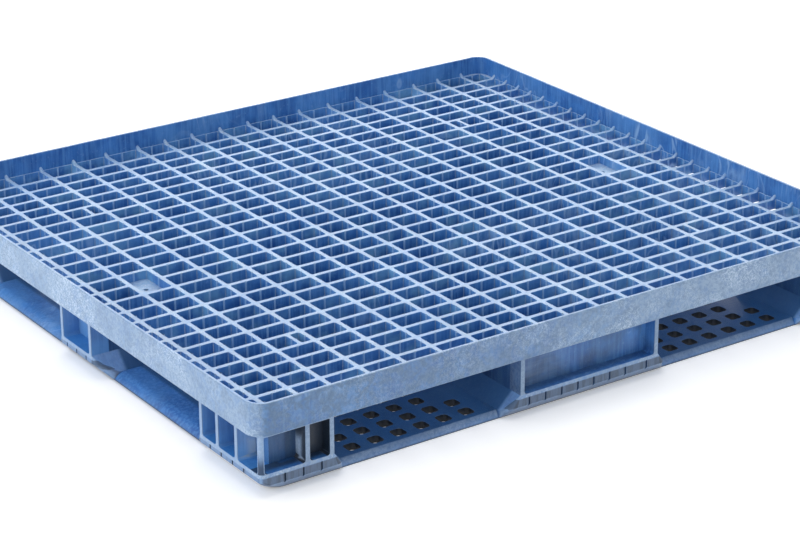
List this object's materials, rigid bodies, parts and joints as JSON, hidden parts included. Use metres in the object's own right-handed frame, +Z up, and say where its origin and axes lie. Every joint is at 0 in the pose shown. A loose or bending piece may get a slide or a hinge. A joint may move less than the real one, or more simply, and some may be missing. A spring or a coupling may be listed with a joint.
{
  "type": "plastic pallet",
  "caption": "Blue plastic pallet: a grating deck inside a raised rim, hollow legs on flared plinths, and a perforated base with wheel windows and fork tunnels both ways.",
  "frame": {"origin": "on the floor, under the middle of the pallet", "axes": "+X along the 1200 mm side, +Y along the 1100 mm side, +Z up"},
  "size_m": [1.2, 1.1, 0.15],
  "materials": {
    "deck_plastic": "moulded, scuffed",
    "leg_plastic": "moulded, scuffed",
    "base_plastic": "moulded, scuffed"
  },
  "bodies": {
    "root": {"board_back_left": "base_plastic", "board_back_right": "base_plastic", "board_cross_back": "base_plastic", "board_cross_front": "base_plastic", "board_cross_left": "base_plastic", "board_cross_right": "base_plastic", "board_front_left": "base_plastic", "board_front_right": "base_plastic", "board_left_back": "base_plastic", "board_left_front": "base_plastic", "board_right_back": "base_plastic", "board_right_front": "base_plastic", "deck_grating": "deck_plastic", "deck_rim": "deck_plastic", "leg_back_left": "leg_plastic", "leg_back_middle": "leg_plastic", "leg_back_right": "leg_plastic", "leg_centre": "leg_plastic", "leg_front_left": "leg_plastic", "leg_front_middle": "leg_plastic", "leg_front_right": "leg_plastic", "leg_left_middle": "leg_plastic", "leg_right_middle": "leg_plastic", "plinth_back_left": "base_plastic", "plinth_back_middle": "base_plastic", "plinth_back_right": "base_plastic", "plinth_centre": "base_plastic", "plinth_front_left": "base_plastic", "plinth_front_middle": "base_plastic", "plinth_front_right": "base_plastic", "plinth_left_middle": "base_plastic", "plinth_right_middle": "base_plastic"}
  },
  "joints": []
}
